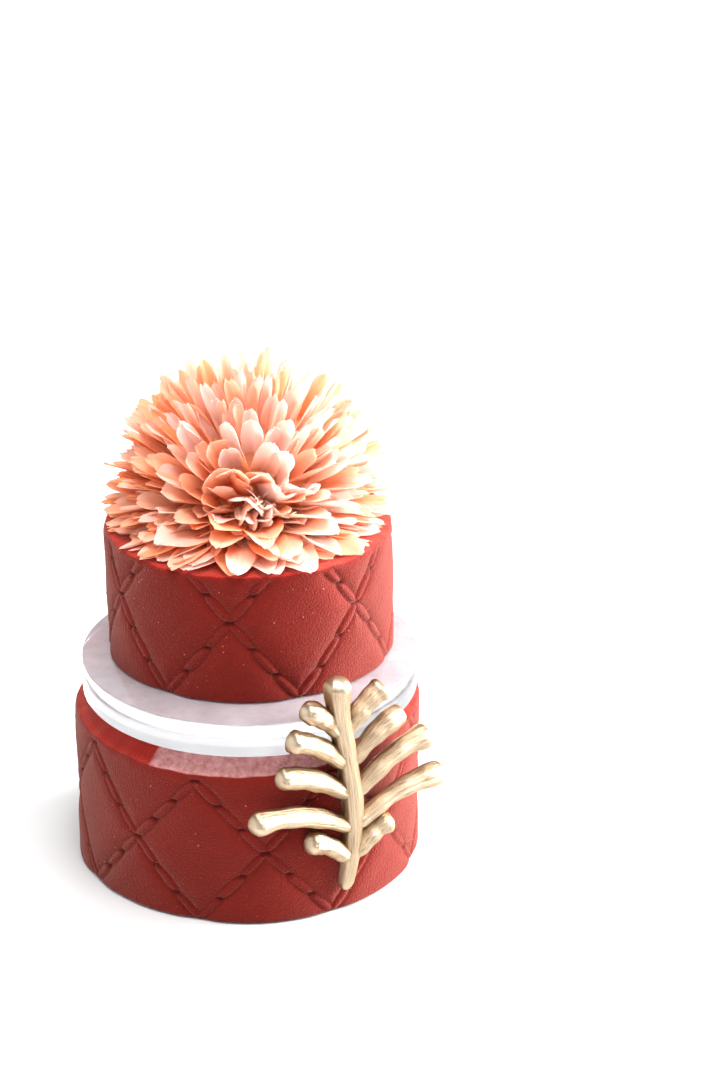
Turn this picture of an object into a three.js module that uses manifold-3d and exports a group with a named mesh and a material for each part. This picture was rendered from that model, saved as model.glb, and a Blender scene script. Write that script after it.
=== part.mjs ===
// Tiered birthday cake: two quilted tiers, a clear disc between them, a gold sprig and a large blossom.
// Millimetres, +Z up, z = 0 under the lower tier, -Y is the front, azimuth turns from the front towards +X.
import * as THREE from "three";
import Module from "manifold-3d";

const GAP = 0.3; // air between touching solids
const TURN = Math.PI * 2;
const STEPS = 6; // mesh steps in half a quilt diamond
const PIT_EVERY = 2; // mesh steps between two stitch holes
const PIT_DEPTH = 1.1;
const STITCH_DEPTH = 0.5;
const PUFF = 0.35; // how far the middle of a diamond stands out

const LOWER = {
  centre: [0, 0],
  radius: 65.5,
  diamonds: 8,
  halfDiamond: 29.3,
  firstPoint: -17.5, // azimuth in degrees of a diamond's lower point
  stretch: 0,
  floor: 0,
  sideTop: 59.6,
  roundIn: 1.6,
  wobble: 0.3,
};
const LOWER_TOP = { height: 69.7, flatRadius: 46, rim: 61.4, raisedRight: 3 };

const DISC = { centre: [1.35, -3.1], radius: 63.5, bottom: 70, top: 83.5, bevel: 0.5, sides: 72 };

const UPPER = {
  centre: [1.6, 3.2],
  radius: 53.7,
  diamonds: 7,
  halfDiamond: 31.8,
  firstPoint: -33.5,
  stretch: 0.061,
  floor: 83.8,
  sideTop: 131.9,
  roundIn: 1.4,
  wobble: 0.25,
};
const UPPER_TOP = { height: 133.7 };

const SPRIG = {
  azimuth: 30, // degrees
  back: 67.3, // distance of its flat back from the lower tier's axis
  width: 7.6,
  depth: 5.6,
  stemBottom: 9,
  stemTop: 99,
  bow: 3.5,
  stations: 6,
  sides: 6,
};
// One pair of leaves a row: height of its root, rise in degrees, length to the left and to the right.
const LEAVES = [
  { root: 22, rise: 34, left: 23, right: 22 },
  { root: 35, rise: 17, left: 46, right: 42 },
  { root: 48, rise: 27, left: 36, right: 38 },
  { root: 61, rise: 34, left: 31, right: 29 },
  { root: 74, rise: 42, left: 23, right: 24 },
];

const BLOSSOM = {
  root: [2, -3, 142],
  envelope: [51, 55, 52], // reach to the side, to front and back, and up
  envelopeCentre: [1.5, 1.5, 145],
  tilt: 9, // degrees the face is raised from level towards the front
  core: { centre: [2, 6, 148], radii: [43, 34, 43.5], around: 22, up: 14, bulge: 0.08, ripple: 8 },
  rest: 134.0,
  lowestTip: 135,
  layerDrop: 6, // how far below the root the flat layers start
  seed: 7.3,
};
// A petal's form; lengths along it are shares of its length, widths shares of its widest.
const PETAL = {
  start: 0.25,
  widest: 0.66,
  rootWidth: 0.32,
  tipLength: 0.36,
  leastWidth: 0.36,
  cup: 0.45,
  wave: 0.35,
  waves: 7,
  uneven: 0.08, // difference in curl from petal to petal
  thickness: 1.1,
  cells: 2,
};
// Whorls round the tilted axis, petals opening by so many degrees; span is the share of the turn they fill.
const WHORLS = [
  { count: 3, open: 7, span: 1, reach: 0.4, width: 9 },
  { count: 6, open: 22, span: 1, reach: 0.6, width: 13 },
  { count: 8, open: 38, span: 0.75, reach: 0.8, width: 16 },
  { count: 10, open: 55, span: 0.7, reach: 0.92, width: 15 },
  { count: 13, open: 72, span: 0.66, reach: 0.97, width: 15 },
  { count: 16, open: 88, span: 0.62, reach: 1.03, width: 14 },
  { count: 12, open: 106, span: 0.56, reach: 1.02, width: 14 },
];
// Layers spread flat round the upright axis, each at a rise in degrees above level.
const LAYERS = [
  { count: 6, rise: 24, reach: 0.76, width: 15 },
  { count: 10, rise: 11, reach: 0.92, width: 18 },
  { count: 13, rise: -4, reach: 1.02, width: 19.5 },
];

const wasm = await Module();
wasm.setup();

const radians = (degrees) => (degrees * Math.PI) / 180;
const wrap = (value, size) => ((value % size) + size) % size;
const mix = (a, b, t) => a + (b - a) * t;

// A fixed draw between 0 and 1 for each pair of numbers.
function draw(i, k) {
  const s = Math.sin(i * 12.9898 + k * 78.233 + BLOSSOM.seed) * 43758.5453;
  return s - Math.floor(s);
}

function geometryOf(points, faces) {
  const geometry = new THREE.BufferGeometry();
  geometry.setAttribute("position", new THREE.Float32BufferAttribute(points.flat(), 3));
  geometry.setIndex(faces.flat());
  return geometry;
}

// A solid through closed rings of equal count, with a point closing each end.
function loft(first, rings, last, splitUp = () => true) {
  const n = rings[0].length;
  const points = [first, ...rings.flat(), last];
  const at = (j, i) => 1 + j * n + (i % n);
  const faces = [];
  for (let i = 0; i < n; i += 1) {
    faces.push([0, at(0, i + 1), at(0, i)]);
    faces.push([points.length - 1, at(rings.length - 1, i), at(rings.length - 1, i + 1)]);
  }
  for (let j = 0; j + 1 < rings.length; j += 1) {
    for (let i = 0; i < n; i += 1) {
      const [a, b, c, d] = [at(j, i), at(j, i + 1), at(j + 1, i + 1), at(j + 1, i)];
      faces.push(...(splitUp(j, i) ? [[a, b, c], [a, c, d]] : [[a, b, d], [b, c, d]]));
    }
  }
  return geometryOf(points, faces);
}

function toManifold(geometry) {
  const mesh = new wasm.Mesh({
    numProp: 3,
    vertProperties: new Float32Array(geometry.attributes.position.array),
    triVerts: new Uint32Array(geometry.index.array),
  });
  mesh.merge();
  return new wasm.Manifold(mesh);
}

function fromManifold(solid) {
  const mesh = solid.getMesh();
  const geometry = new THREE.BufferGeometry();
  geometry.setAttribute("position", new THREE.BufferAttribute(mesh.vertProperties, 3));
  geometry.setIndex(new THREE.BufferAttribute(mesh.triVerts, 1));
  return geometry;
}

function fuse(geometries) {
  return geometries.map(toManifold).reduce((whole, piece) => whole.add(piece));
}

// The largest connected shell of a fused solid: hollows closed in by the joining are filled, scraps dropped.
function largestShell(geometry) {
  const index = Array.from(geometry.index.array);
  const parent = Array.from({ length: geometry.attributes.position.count }, (_, i) => i);
  const rootOf = (i) => {
    let at = i;
    while (parent[at] !== at) {
      parent[at] = parent[parent[at]];
      at = parent[at];
    }
    return at;
  };
  for (let i = 0; i < index.length; i += 3) {
    parent[rootOf(index[i + 1])] = rootOf(index[i]);
    parent[rootOf(index[i + 2])] = rootOf(index[i]);
  }
  const sizes = new Map();
  index.forEach((i) => sizes.set(rootOf(i), (sizes.get(rootOf(i)) ?? 0) + 1));
  const largest = [...sizes].reduce((best, entry) => (entry[1] > best[1] ? entry : best))[0];
  const kept = index.filter((_, n) => rootOf(index[n - (n % 3)]) === largest);
  const used = [...new Set(kept)];
  const renumbered = new Map(used.map((old, now) => [old, now]));
  const position = geometry.attributes.position;
  const points = used.map((i) => [position.getX(i), position.getY(i), position.getZ(i)]);
  return geometryOf(points, kept.map((i) => renumbered.get(i)));
}

// ---- tiers ----

// Azimuth of a mesh column; the quilt is laid a little wider at the front than at the back.
function columnAzimuth(tier, i) {
  const turn = (TURN * i) / (tier.diamonds * 2 * STEPS);
  return radians(tier.firstPoint) + turn + tier.stretch * Math.sin(turn + radians(tier.firstPoint));
}

// How far the quilting stands out (+) or is pressed in (-) at mesh column i, row j.
function quilt(i, j) {
  const period = 2 * STEPS;
  const rising = wrap(i - j, period);
  const falling = wrap(i + j, period);
  if (rising === 0 || falling === 0) {
    return j % PIT_EVERY === 0 ? -PIT_DEPTH : -STITCH_DEPTH;
  }
  const away = Math.min(rising, period - rising, falling, period - falling);
  return PUFF * Math.sin((Math.PI / 2) * Math.min(1, away / (STEPS / 2)));
}

function wobble(tier, azimuth, z) {
  const slow = Math.sin(3 * azimuth + 0.04 * z) + 0.6 * Math.sin(5 * azimuth - 0.07 * z + 1);
  return tier.wobble * slow;
}

function tierPoint(tier, azimuth, radius, z) {
  return [tier.centre[0] + radius * Math.sin(azimuth), tier.centre[1] - radius * Math.cos(azimuth), z];
}

function ringOf(tier, radiusAt, heightAt) {
  return Array.from({ length: tier.diamonds * 2 * STEPS }, (_, i) => {
    const azimuth = columnAzimuth(tier, i);
    return tierPoint(tier, azimuth, radiusAt(azimuth, i), heightAt(azimuth, i));
  });
}

// Rings up the side: a ring for the rounded foot, then one a mesh step as far as the side goes.
function sideRings(tier) {
  const step = tier.halfDiamond / STEPS;
  const foot = ringOf(
    tier,
    (azimuth) => tier.radius - tier.roundIn / 2 + wobble(tier, azimuth, tier.floor),
    () => tier.floor,
  );
  const rings = [foot];
  for (let j = 0; tier.floor + j * step < tier.sideTop - step / 4; j += 1) {
    const z = tier.floor + Math.max(j * step, tier.roundIn / 2);
    rings.push(ringOf(tier, (azimuth, i) => tier.radius + wobble(tier, azimuth, z) + quilt(i, j), () => z));
  }
  return rings;
}

function buildTier(tier, topRings, topHeight) {
  const rings = [...sideRings(tier), ...topRings];
  const rows = sideRings(tier).length - 1;
  const period = 2 * STEPS;
  const splitUp = (row, i) => {
    const j = row - 1;
    if (j < 0 || row >= rows) return true;
    if (wrap(i - j, period) === 0) return true;
    if (wrap(i + 1 + j, period) === 0) return false;
    return wrap(i - j, period) < STEPS;
  };
  const bottom = tierPoint(tier, 0, 0, tier.floor);
  return loft(bottom, rings, tierPoint(tier, 0, 0, topHeight), splitUp);
}

// The lower tier's top falls from the flat bearing under the disc to a rim that is higher at the right.
function lowerTier() {
  const rimHeight = (azimuth) => LOWER_TOP.rim + LOWER_TOP.raisedRight * Math.max(0, Math.sin(azimuth)) ** 1.5;
  const edge = (azimuth) => LOWER.radius + wobble(LOWER, azimuth, LOWER.sideTop);
  const round = LOWER.roundIn;
  const shoulder = (share) => ringOf(
    LOWER,
    (azimuth) => mix(edge(azimuth) - round, LOWER_TOP.flatRadius, share),
    (azimuth) => mix(rimHeight(azimuth), LOWER_TOP.height, Math.sin((Math.PI / 2) * share)),
  );
  const lip = ringOf(LOWER, edge, (azimuth) => rimHeight(azimuth) - round);
  const top = ringOf(LOWER, () => LOWER_TOP.flatRadius, () => LOWER_TOP.height);
  return buildTier(LOWER, [lip, shoulder(0), shoulder(1 / 3), top], LOWER_TOP.height);
}

function upperTier() {
  const edge = (azimuth) => UPPER.radius + wobble(UPPER, azimuth, UPPER.sideTop);
  const round = UPPER.roundIn;
  const lip = ringOf(UPPER, edge, () => UPPER_TOP.height - round);
  const top = ringOf(UPPER, (azimuth) => edge(azimuth) - round, () => UPPER_TOP.height);
  return buildTier(UPPER, [lip, top], UPPER_TOP.height);
}

// ---- clear disc ----

function separatorDisc() {
  const { radius, bottom, top, bevel, sides, centre } = DISC;
  const half = (top - bottom) / 2;
  const profile = [
    [0, -half],
    [radius - bevel, -half],
    [radius, bevel - half],
    [radius, half - bevel],
    [radius - bevel, half],
    [0, half],
  ].map(([x, y]) => new THREE.Vector2(x, y));
  const disc = new THREE.LatheGeometry(profile, sides);
  disc.rotateX(Math.PI / 2);
  disc.translate(centre[0], centre[1], bottom + half);
  return fromManifold(toManifold(disc));
}

// ---- gold sprig ----

// A piped stroke lying flat on the plane w = 0: a D-shaped section along a path, blunt at both ends.
function stroke(pathAt, sizeAt) {
  const { stations, sides, width, depth } = SPRIG;
  const rings = [];
  for (let j = 0; j <= stations; j += 1) {
    const t = j / stations;
    const [u, v] = pathAt(t);
    const [u2, v2] = pathAt(t + 0.01);
    const slope = Math.atan2(v2 - v, u2 - u);
    const size = sizeAt(t);
    rings.push(
      Array.from({ length: sides }, (_, i) => {
        const turn = (Math.PI * i) / (sides - 1);
        const across = (width / 2) * size * Math.cos(turn);
        return [u - across * Math.sin(slope), v + across * Math.cos(slope), depth * size * Math.sin(turn)];
      }),
    );
  }
  const capped = (ring) => ring.reduce((sum, p) => sum.map((s, k) => s + p[k] / ring.length), [0, 0, 0]);
  return loft(capped(rings[0]), rings, capped(rings[stations]));
}

// Round at t = 0 and t = 1, fuller towards the outer end.
function strokeSize(t, fullness) {
  const ends = Math.sqrt(Math.max(0.12, 1 - (2 * t - 1) ** 8));
  return ends * mix(0.82, fullness, t);
}

function stemAt(t) {
  return [SPRIG.bow * Math.sin(Math.PI * t * 1.5) + 1, mix(SPRIG.stemBottom, SPRIG.stemTop, t)];
}

function leafPath(row, side) {
  const { root, rise } = row;
  const length = side > 0 ? row.right : row.left;
  const start = stemAt((root - SPRIG.stemBottom) / (SPRIG.stemTop - SPRIG.stemBottom));
  const lean = radians(rise);
  return (t) => [
    start[0] + side * length * t * Math.cos(lean),
    start[1] + length * t * Math.sin(lean) + 0.09 * length * Math.sin(Math.PI * t),
  ];
}

function goldSprig() {
  const pieces = [stroke(stemAt, (t) => strokeSize(t, 1.25))];
  for (const row of LEAVES) {
    for (const side of [-1, 1]) {
      pieces.push(stroke(leafPath(row, side), (t) => strokeSize(t, 1.2)));
    }
  }
  const sprig = fromManifold(fuse(pieces));
  const azimuth = radians(SPRIG.azimuth);
  const along = new THREE.Vector3(Math.cos(azimuth), Math.sin(azimuth), 0);
  const out = new THREE.Vector3(Math.sin(azimuth), -Math.cos(azimuth), 0);
  const place = new THREE.Matrix4().makeBasis(along, new THREE.Vector3(0, 0, 1), out);
  place.setPosition(out.clone().multiplyScalar(SPRIG.back));
  return sprig.applyMatrix4(place);
}

// ---- blossom ----

// Distance from the blossom's root to its envelope along a direction.
function reachAlong(direction) {
  const scale = new THREE.Vector3(...BLOSSOM.envelope);
  const from = new THREE.Vector3(...BLOSSOM.root).sub(new THREE.Vector3(...BLOSSOM.envelopeCentre)).divide(scale);
  const ray = direction.clone().divide(scale);
  const [a, b, c] = [ray.lengthSq(), from.dot(ray), from.lengthSq() - 1];
  return (Math.sqrt(b * b - a * c) - b) / a;
}

// Width along a petal as a share of its widest: narrow root, broad upper half, blunt or pointed tip.
function petalOutline(t, pointed) {
  const { widest, rootWidth, tipLength } = PETAL;
  const rising = mix(rootWidth, 1, Math.sin((Math.PI / 2) * Math.min(1, t / widest)));
  const falling = Math.sqrt(Math.max(0, 1 - (Math.max(0, t - widest) / tipLength) ** 2));
  return rising * mix(falling, falling * falling, pointed);
}

// Petals of a whorl: they fan out from the tilted axis; those at the back and top stand more on edge.
function whorlPetal(whorl, w, k) {
  const id = w * 31 + k;
  const turn = TURN * whorl.span * ((k + 0.5 + 0.6 * (draw(id, 1) - 0.5)) / whorl.count - 0.5);
  const side = Math.sin(turn);
  const back = Math.cos(turn);
  const open = radians(whorl.open + 9 * (draw(id, 2) - 0.5));
  const tilt = radians(BLOSSOM.tilt);
  const direction = new THREE.Vector3(
    Math.sin(open) * side,
    Math.sin(open) * back * Math.sin(tilt) - Math.cos(open) * Math.cos(tilt),
    Math.sin(open) * back * Math.cos(tilt) + Math.cos(open) * Math.sin(tilt),
  );
  const faceTilt = mix(tilt, Math.PI / 2, side * side);
  const upright = Math.max(0, back) * Math.min(1, whorl.open / 75);
  return {
    id,
    drop: 0,
    direction,
    faceTilt,
    roll: (draw(id, 3) - 0.5) * mix(0.5, 1.5, upright),
    reach: whorl.reach,
    width: whorl.width * mix(1, 0.8, upright),
    pointed: draw(id, 6) * mix(1, 0.3, upright),
    bend: mix(0.14, -0.06, Math.min(1, whorl.open / 90)),
  };
}

// Petals of a flat layer, their faces up.
function layerPetal(layer, w, k) {
  const id = (w + WHORLS.length) * 31 + k;
  const turn = (TURN * (k + 0.5 * (w % 2) + 0.5 * (draw(id, 1) - 0.5))) / layer.count;
  const rise = radians(layer.rise + 6 * (draw(id, 2) - 0.5));
  return {
    id,
    drop: BLOSSOM.layerDrop,
    direction: new THREE.Vector3(Math.sin(turn) * Math.cos(rise), -Math.cos(turn) * Math.cos(rise), Math.sin(rise)),
    faceTilt: Math.PI / 2,
    roll: (draw(id, 3) - 0.5) * 0.6,
    reach: layer.reach,
    width: layer.width,
    pointed: draw(id, 6),
    bend: 0.02,
  };
}

// A thin cupped, slightly wavy solid; both faces are split alike.
function petal(shape) {
  const { id, direction, faceTilt, roll, pointed } = shape;
  const normal = new THREE.Vector3(0, -Math.cos(faceTilt), Math.sin(faceTilt));
  normal.addScaledVector(direction, -normal.dot(direction)).normalize();
  normal.applyAxisAngle(direction, roll);
  const sideways = new THREE.Vector3().crossVectors(direction, normal);
  const length = reachAlong(direction) * shape.reach * mix(0.93, 1.03, draw(id, 4));
  const width = shape.width * mix(0.85, 1.1, draw(id, 5));
  const start = new THREE.Vector3(...BLOSSOM.root);
  start.z -= shape.drop;
  const curl = shape.bend + PETAL.uneven * (draw(id, 7) - 0.5);
  const tipHeight = start.z + length * (direction.z + curl * normal.z);
  const lift = normal.z > 0.2 ? Math.max(0, BLOSSOM.lowestTip - tipHeight) / (length * normal.z) : 0;
  const middle = (t) => start
    .clone()
    .addScaledVector(direction, length * t)
    .addScaledVector(normal, length * (curl + lift) * t * t);
  const rings = [];
  for (let j = 0; j <= PETAL.cells; j += 1) {
    const t = mix(PETAL.start, 1, j / PETAL.cells);
    const half = (width / 2) * Math.max(PETAL.leastWidth, petalOutline(t, pointed));
    const wave = PETAL.wave * Math.sin(PETAL.waves * t + TURN * draw(id, 8));
    const place = (share, face) => middle(t)
      .addScaledVector(sideways, half * share)
      .addScaledVector(normal, half * PETAL.cup * share * share + wave * share + (face * PETAL.thickness) / 2)
      .toArray();
    rings.push([place(-1, 1), place(0, 1), place(1, 1), place(1, -1), place(0, -1), place(-1, -1)]);
  }
  return petalMesh(rings);
}

// Joins the six-point rings of a petal: three points on each face, both ends closed flat.
function petalMesh(rings) {
  const n = rings[0].length;
  const at = (j, i) => j * n + (i % n);
  const faces = [];
  for (let j = 0; j + 1 < rings.length; j += 1) {
    for (let i = 0; i < n; i += 1) {
      const [a, b, c, d] = [at(j, i), at(j, i + 1), at(j + 1, i + 1), at(j + 1, i)];
      faces.push(...(i < n / 2 ? [[a, b, c], [a, c, d]] : [[a, b, d], [b, c, d]]));
    }
  }
  for (const [j, outward] of [[0, false], [rings.length - 1, true]]) {
    for (const [p, q, r] of [[0, 1, 5], [1, 4, 5], [1, 2, 4], [2, 3, 4]]) {
      faces.push(outward ? [at(j, p), at(j, q), at(j, r)] : [at(j, p), at(j, r), at(j, q)]);
    }
  }
  return geometryOf(rings.flat(), faces);
}

// The packed middle of the blossom: a ball that bulges and dips like the petals crowded on it.
function blossomCore() {
  const { centre, radii, around, up, bulge, ripple } = BLOSSOM.core;
  const core = new THREE.SphereGeometry(1, around, up);
  const points = core.attributes.position;
  for (let i = 0; i < points.count; i += 1) {
    const p = new THREE.Vector3().fromBufferAttribute(points, i);
    p.multiplyScalar(1 + bulge * Math.sin(ripple * (p.x + p.y)) * Math.sin(ripple * p.z));
    points.setXYZ(i, p.x, p.y, p.z);
  }
  core.scale(...radii);
  core.translate(...centre);
  return core;
}

function blossom() {
  const pieces = [blossomCore()];
  WHORLS.forEach((whorl, w) => {
    for (let k = 0; k < whorl.count; k += 1) {
      pieces.push(petal(whorlPetal(whorl, w, k)));
    }
  });
  LAYERS.forEach((layer, w) => {
    for (let k = 0; k < layer.count; k += 1) {
      pieces.push(petal(layerPetal(layer, w, k)));
    }
  });
  const span = 4 * BLOSSOM.envelope[0];
  const below = new THREE.BoxGeometry(span, span, span);
  below.translate(0, 0, BLOSSOM.rest - span / 2);
  return largestShell(fromManifold(fuse(pieces).subtract(toManifold(below))));
}

function named(name, geometry, colour, roughness, metalness) {
  geometry.computeVertexNormals();
  const mesh = new THREE.Mesh(geometry, new THREE.MeshStandardMaterial({ color: colour, roughness, metalness }));
  mesh.name = name;
  return mesh;
}

const model = new THREE.Group();
model.add(named("lower_tier", lowerTier(), 0x8c2a22, 0.9, 0));
model.add(named("separator_disc", separatorDisc(), 0xe8ecf2, 0.08, 0));
model.add(named("upper_tier", upperTier(), 0x8c2a22, 0.9, 0));
model.add(named("gold_sprig", goldSprig(), 0xd9b27c, 0.35, 0.8));
model.add(named("blossom", blossom(), 0xf4ac8a, 0.6, 0));

export default model;
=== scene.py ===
"""A small tiered birthday cake: quilted red tiers, a clear disc, a gold piped sprig and a peach blossom.

Lengths are millimetres until mesh_piece turns them into metres. Lights, floor and camera are in metres.
-Y is the front, and an azimuth is counted from there towards +X.
"""
import itertools
import math

import bpy
import numpy as np
from mathutils import Matrix, Vector


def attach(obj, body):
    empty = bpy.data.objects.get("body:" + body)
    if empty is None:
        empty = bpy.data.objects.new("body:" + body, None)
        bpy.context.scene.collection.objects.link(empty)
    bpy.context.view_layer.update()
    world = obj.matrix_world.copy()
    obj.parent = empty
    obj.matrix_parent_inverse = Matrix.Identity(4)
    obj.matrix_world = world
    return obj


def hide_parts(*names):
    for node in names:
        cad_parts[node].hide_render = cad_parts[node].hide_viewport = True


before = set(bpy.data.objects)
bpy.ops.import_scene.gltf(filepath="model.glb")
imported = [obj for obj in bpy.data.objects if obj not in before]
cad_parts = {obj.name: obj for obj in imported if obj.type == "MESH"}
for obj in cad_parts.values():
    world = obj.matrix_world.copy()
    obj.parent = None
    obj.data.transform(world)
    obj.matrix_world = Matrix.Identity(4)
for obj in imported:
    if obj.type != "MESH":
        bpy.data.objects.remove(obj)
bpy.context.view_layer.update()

MM = 0.001
TURN = 2 * math.pi
QUARTER = math.pi / 2
UP = np.array([0, 0, 1])
rng = np.random.default_rng(11)

# ---- camera, fitted to the rims of the tiers ----

CAMERA_PLACE = (0.0, -1.02653, 0.58225)
CAMERA_YAW = math.radians(2.41)
CAMERA_PITCH = math.radians(23.96)
CAMERA_LENS = 100
CAMERA_SENSOR = 36

# ---- sizes shared with the solids ----

# first: azimuth in degrees where the pattern starts; stretch: how uneven its spacing is
# columns, rows: points around and up; the last: azimuths in degrees between which the top is painted pale, a
# painted patch of the light that comes through the disc
LOWER = dict(
    centre=(0, 0), radius=65.5, diamonds=8, half_height=29.3, first=-17.5, stretch=0.0,
    floor=0.0, round_in=1.6, wobble=0.3, columns=720, rows=114, lit_through_disc=(-34.5, 27.0),
)
LOWER_TOP = dict(
    height=69.7, flat_radius=46.0, rim=61.4, raised_right=3.0, inner_radii=(36.0, 22.0, 8.0), dimple=0.15,
)
LOWER_SPECKS = dict(count=260, low=3.0, high=58.0)
UPPER = dict(
    centre=(1.6, 3.2), radius=53.7, diamonds=7, half_height=31.8, first=-33.5, stretch=0.061,
    floor=83.8, round_in=1.4, wobble=0.25, columns=630, rows=96, lit_through_disc=None,
)
UPPER_TOP = dict(height=133.7, sunk=0.15, dimple=0.12)
UPPER_SPECKS = dict(count=420, low=87.0, high=130.0)
TOP_RINGS = 12
DISC = dict(centre=(1.35, -3.1), radius=63.5, inner=20.0, bottom=70.0, top=83.5, bevel=0.5, sides=256)


# ---- meshes ----

def mesh_piece(name, points, faces, materials, cad_node, attributes=None):
    """A smooth mesh object from millimetre points and quads or triangles that rides on the cake."""
    mesh = bpy.data.meshes.new(name)
    mesh.from_pydata((np.asarray(points) * MM).tolist(), [], faces)
    for key, values in (attributes or {}).items():
        layer = mesh.attributes.new(key, "FLOAT", "POINT")
        layer.data.foreach_set("value", np.asarray(values, np.float32).ravel())
    mesh.polygons.foreach_set("use_smooth", [True] * len(mesh.polygons))
    mesh.update()
    piece = bpy.data.objects.new(name, mesh)
    bpy.context.scene.collection.objects.link(piece)
    for material in materials:
        mesh.materials.append(material)
    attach(piece, "root")
    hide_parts(cad_node)
    return piece


def ring_faces(rings, columns):
    """Quads between closed rings of points numbered row by row."""
    row, column = np.meshgrid(np.arange(rings - 1), np.arange(columns), indexing="ij")
    here = row * columns
    above = here + columns
    after = (column + 1) % columns
    quads = np.stack([here + column, here + after, above + after, above + column], axis=-1)
    return quads.reshape(-1, 4).tolist()


def closed_loft(rings):
    """Points and faces of a solid through rings (rings, columns, 3), a point closing each end."""
    count, columns, _ = rings.shape
    points = np.concatenate([rings.reshape(-1, 3), rings[:1].mean(1), rings[-1:].mean(1)])
    low = count * columns
    high = low + 1
    last = low - columns
    faces = ring_faces(count, columns)
    for i in range(columns):
        j = (i + 1) % columns
        faces.append([low, j, i])
        faces.append([high, last + i, last + j])
    return points, faces


def outward(azimuth):
    """Unit directions along and out of a round side at an azimuth."""
    side = np.array([math.cos(azimuth), math.sin(azimuth), 0])
    out = np.array([math.sin(azimuth), -math.cos(azimuth), 0])
    return side, out


# ---- quilted tiers ----

STITCHES = 3  # on each side of a diamond
STITCH = dict(length=13.0, half_width=1.3, wider=0.5, least=0.03, height=0.6, higher=0.25, crown=0.7)
# painted shade strength: how much a groove or a pit is darkened in colour, for the shade that falls in the
# recess
GROOVE = dict(depth=0.3, beside=0.3, spread=0.8, painted_shade_strength=0.2)
PIT = dict(depth=1.0, half_width=0.95, wider=0.3, half_length=1.05, painted_shade_strength=1.2)
VALLEY = dict(depth=0.6, spread=3.8)  # the soft dip that each seam lies in
PUFF = 0.45  # how far a diamond's middle stands out
SEAM_STEP = 11  # between the draws of one seam and the next
FALLING_LINES = 50  # added to the number of a falling seam, so that its draws differ
WOBBLE_WAVES = [
    (1.0, 3, 0.04, 0),
    (0.6, 5, -0.07, 1),
    (0.25, 11, 0.21, 2),
    (0.2, 17, -0.33, 0),
]  # size, waves around, turn with each mm of height, start
RIM_WAVES = [(0.12, 23, 0), (0.1, 41, 1)]  # size, waves around, start
# the foot's painted shade strength darkens its bottom edge in colour, for the shade where the tier meets the
# floor
FOOT = dict(inset=6.0, round_in=0.8, rise=0.5, painted_shade_strength=0.3)
RIM_STEPS = [(0.25, 0), (0.5, 0), (0.75, 1), (1.0, 1)]  # share of the rounding, and 1 where it counts as top
RIM_FADE = 1.2  # mm below the rim over which the quilting runs out
RIM_RELIEF = 0.4  # share of the relief left at the rim
THROUGH_DISC_EDGE = 1.2  # degrees over which the painted pale patch of light through the disc starts and ends


def chance(number):
    """A fixed draw between 0 and 1 for each whole number."""
    value = np.sin(number * 12.9898) * 43758.5453
    return value - np.floor(value)


def seam(across, along, line):
    """Relief and painted shade of a stitched line, from the distance to it and the place along it in
    stitches; the shade is painted into its grooves and pits.
    """
    phase = along - np.floor(along)
    to_end = np.minimum(phase, 1 - phase)
    draw = chance(np.floor(along) + SEAM_STEP * line)
    swell = np.sqrt(np.clip(1 - np.abs(2 * phase - 1) ** 3, STITCH["least"], 1))
    half_width = (STITCH["half_width"] + STITCH["wider"] * draw) * swell
    crown = np.clip(1 - (across / half_width) ** 2, 0, 1) ** STITCH["crown"]
    ridge = (STITCH["height"] + STITCH["higher"] * draw) * np.clip(half_width, 0, 1) * crown
    groove = np.exp(-(((np.abs(across) - half_width - GROOVE["beside"]) / GROOVE["spread"]) ** 2))
    pit_across = across / (PIT["half_width"] + PIT["wider"] * draw)
    pit_along = to_end * STITCH["length"] / PIT["half_length"]
    pit = np.exp(-(pit_across**2 + pit_along**2))
    relief = ridge - GROOVE["depth"] * groove - PIT["depth"] * pit
    painted_shade = np.clip(GROOVE["painted_shade_strength"] * groove + PIT["painted_shade_strength"] * pit, 0, 1)
    return relief, painted_shade


def quilt(tier, turn, height):
    """Relief in mm and painted shade of the quilting at a pattern angle and a height above the tier's foot.
    """
    half_width = math.pi * tier["radius"] / tier["diamonds"]
    around = turn / (math.pi / tier["diamonds"])
    up = height / tier["half_height"]
    spacing = half_width * tier["half_height"] / math.hypot(half_width, tier["half_height"])
    rising = (np.mod(around - up + 1, 2) - 1) * spacing
    falling = (np.mod(around + up + 1, 2) - 1) * spacing
    along = up * STITCHES
    relief_rising, dark_rising = seam(rising, along, np.round((around - up) / 2))
    relief_falling, dark_falling = seam(falling, along, np.round((around + up) / 2) + FALLING_LINES)
    rising_nearer = np.abs(rising) < np.abs(falling)
    nearest = np.minimum(np.abs(rising), np.abs(falling))
    valley = np.exp(-((nearest / VALLEY["spread"]) ** 2))
    puff = PUFF * np.sin(QUARTER * np.clip(nearest / (spacing / 2), 0, 1))
    relief = np.where(rising_nearer, relief_rising, relief_falling) - VALLEY["depth"] * valley + puff
    return relief, np.where(rising_nearer, dark_rising, dark_falling)


def wobble(tier, azimuth, height):
    """How far a tier's side strays from a true cylinder."""
    waves = (
        size * np.sin(count * azimuth + rise * height + start) for size, count, rise, start in WOBBLE_WAVES
    )
    return tier["wobble"] * sum(waves)


def pattern_azimuth(tier, turn):
    """Azimuth at an angle of the quilting's pattern, which is a little uneven."""
    first = math.radians(tier["first"])
    return first + turn + tier["stretch"] * np.sin(turn + first)


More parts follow.
